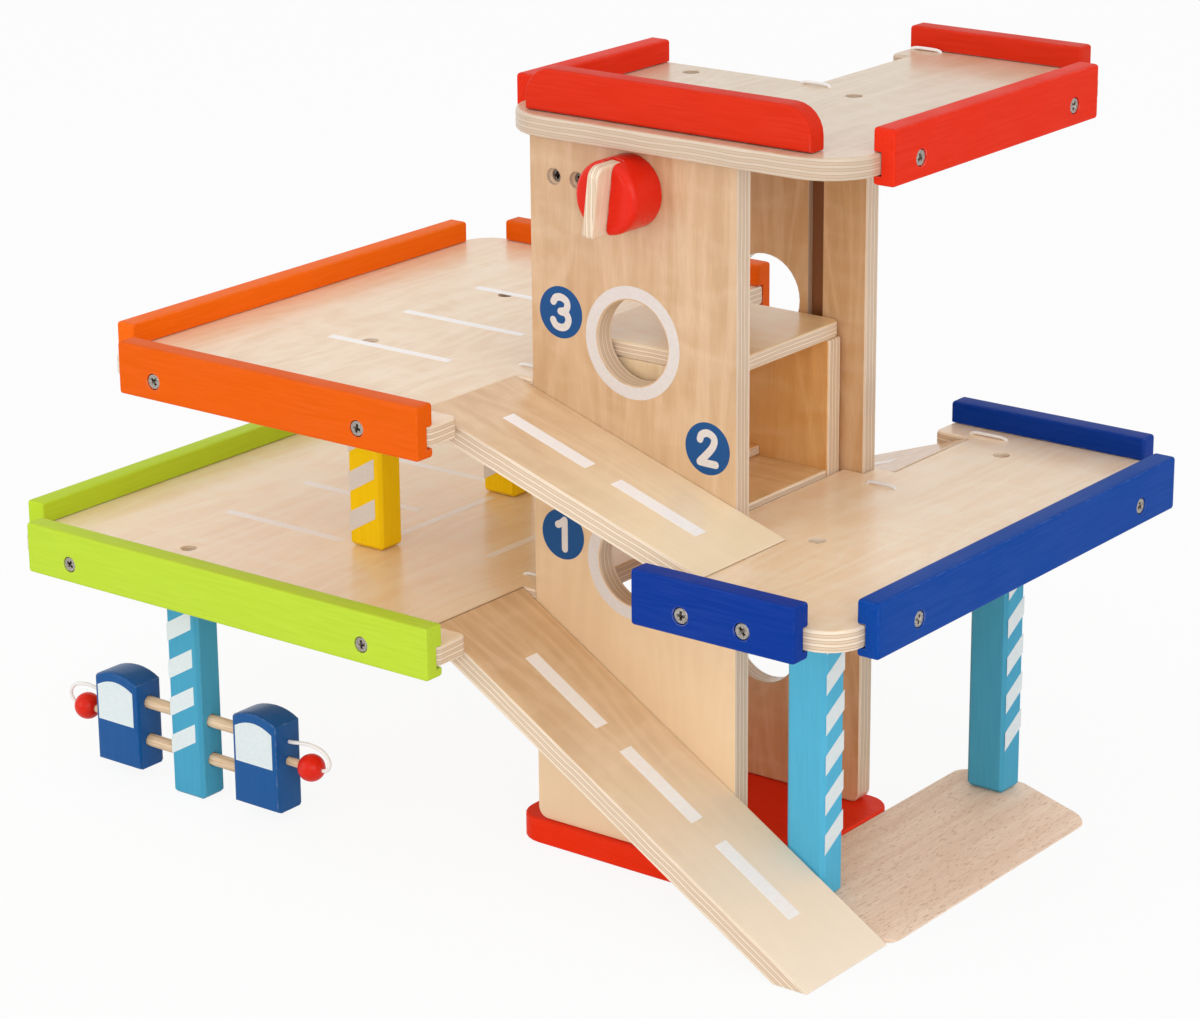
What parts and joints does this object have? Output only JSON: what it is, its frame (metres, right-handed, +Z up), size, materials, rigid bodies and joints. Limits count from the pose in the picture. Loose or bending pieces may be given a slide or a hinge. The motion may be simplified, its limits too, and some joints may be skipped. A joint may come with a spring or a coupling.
{
  "type": "toy parking garage",
  "caption": "Wooden toy parking garage with a lift tower and hand knob, parking decks with painted rails, ramps, columns and fuel pumps.",
  "frame": {"origin": "middle of the footprint, on the ground", "axes": "+Z up; +X from the green deck towards the blue deck; -Y is the side with the lift knob"},
  "size_m": [0.4742, 0.3028, 0.355],
  "materials": {
    "birch_plywood": "satin lacquered birch plywood with layered edges",
    "beech_wood": "lacquered beech with fine flecks",
    "dowel_wood": "natural hardwood dowel",
    "red_paint": "red glossy paint on wood",
    "orange_paint": "orange glossy paint on wood",
    "green_paint": "light green glossy paint on wood",
    "blue_paint": "blue glossy paint on wood",
    "light_blue_paint": "light blue glossy paint on wood",
    "yellow_paint": "yellow glossy paint on wood",
    "pump_blue_paint": "dark blue glossy paint on wood",
    "white_cord": "white elastic cord",
    "dark_steel": "dark zinc plated screws",
    "white_print": "white screen print",
    "disc_blue_print": "dark blue screen print"
  },
  "bodies": {
    "garage": {"wall_front": "birch_plywood", "wall_back": "birch_plywood", "cross_board": "birch_plywood", "roof_deck": "birch_plywood", "orange_deck": "birch_plywood", "green_deck": "birch_plywood", "blue_deck": "birch_plywood", "ramp_upper": "birch_plywood", "ramp_lower": "birch_plywood", "ramp_back": "birch_plywood", "beech_plate": "beech_wood", "pump_dowel_low": "dowel_wood", "pump_dowel_high": "dowel_wood", "base_board": "red_paint", "roof_rail_left": "red_paint", "roof_rail_front": "red_paint", "roof_rail_right": "red_paint", "roof_rail_back": "red_paint", "orange_rail_left": "orange_paint", "green_rail_left": "green_paint", "orange_rail_front": "orange_paint", "green_rail_front": "green_paint", "orange_rail_back": "orange_paint", "green_rail_back": "green_paint", "blue_rail_right": "blue_paint", "blue_rail_front": "blue_paint", "blue_rail_back": "blue_paint", "column_blue_front": "light_blue_paint", "column_blue_back": "light_blue_paint", "column_green_back": "light_blue_paint", "column_pumps": "light_blue_paint", "column_orange_front": "yellow_paint", "column_orange_back": "yellow_paint", "pump_left": "pump_blue_paint", "pump_right": "pump_blue_paint", "orange_rail_front_screw_1": "dark_steel", "orange_rail_front_screw_2": "dark_steel", "green_rail_front_screw_1": "dark_steel", "green_rail_front_screw_2": "dark_steel", "blue_rail_front_screw_1": "dark_steel", "blue_rail_front_screw_2": "dark_steel", "blue_rail_right_screw_1": "dark_steel", "blue_rail_right_screw_2": "dark_steel", "roof_rail_right_screw_1": "dark_steel", "roof_rail_right_screw_2": "dark_steel"},
    "cabin": {"cabin_floor": "birch_plywood", "cabin_roof": "birch_plywood", "cabin_wall_front": "birch_plywood", "cabin_wall_back": "birch_plywood", "cabin_stop": "birch_plywood"},
    "knob": {"knob_disc": "red_paint", "knob_grip": "birch_plywood", "hoist_axle": "dowel_wood"},
    "nozzle_left": {"nozzle_ball_left": "red_paint", "nozzle_peg_left": "dowel_wood", "hose_left": "white_cord"},
    "nozzle_right": {"nozzle_ball_right": "red_paint", "nozzle_peg_right": "dowel_wood", "hose_right": "white_cord"}
  },
  "joints": [
    {"name": "cabin_lift", "type": "slide", "parent": "garage", "child": "cabin", "axis": [0, 0, 1], "range_m": [-0.152, 0.048]},
    {"name": "knob_turn", "type": "hinge", "parent": "garage", "child": "knob", "pos_m": [0.0681, -0.0622, 0.3082], "axis": [0, 1, 0], "range_deg": [-2182.2, 692.5]},
    {"name": "nozzle_left_pull", "type": "slide", "parent": "garage", "child": "nozzle_left", "axis": [-1, 0, 0], "range_m": [0, 0.012]},
    {"name": "nozzle_right_pull", "type": "slide", "parent": "garage", "child": "nozzle_right", "axis": [1, 0, 0], "range_m": [0, 0.012]}
  ],
  "couplings": [
    {"joint": "knob_turn", "follows": "cabin_lift", "rad_per_m": 250}
  ]
}
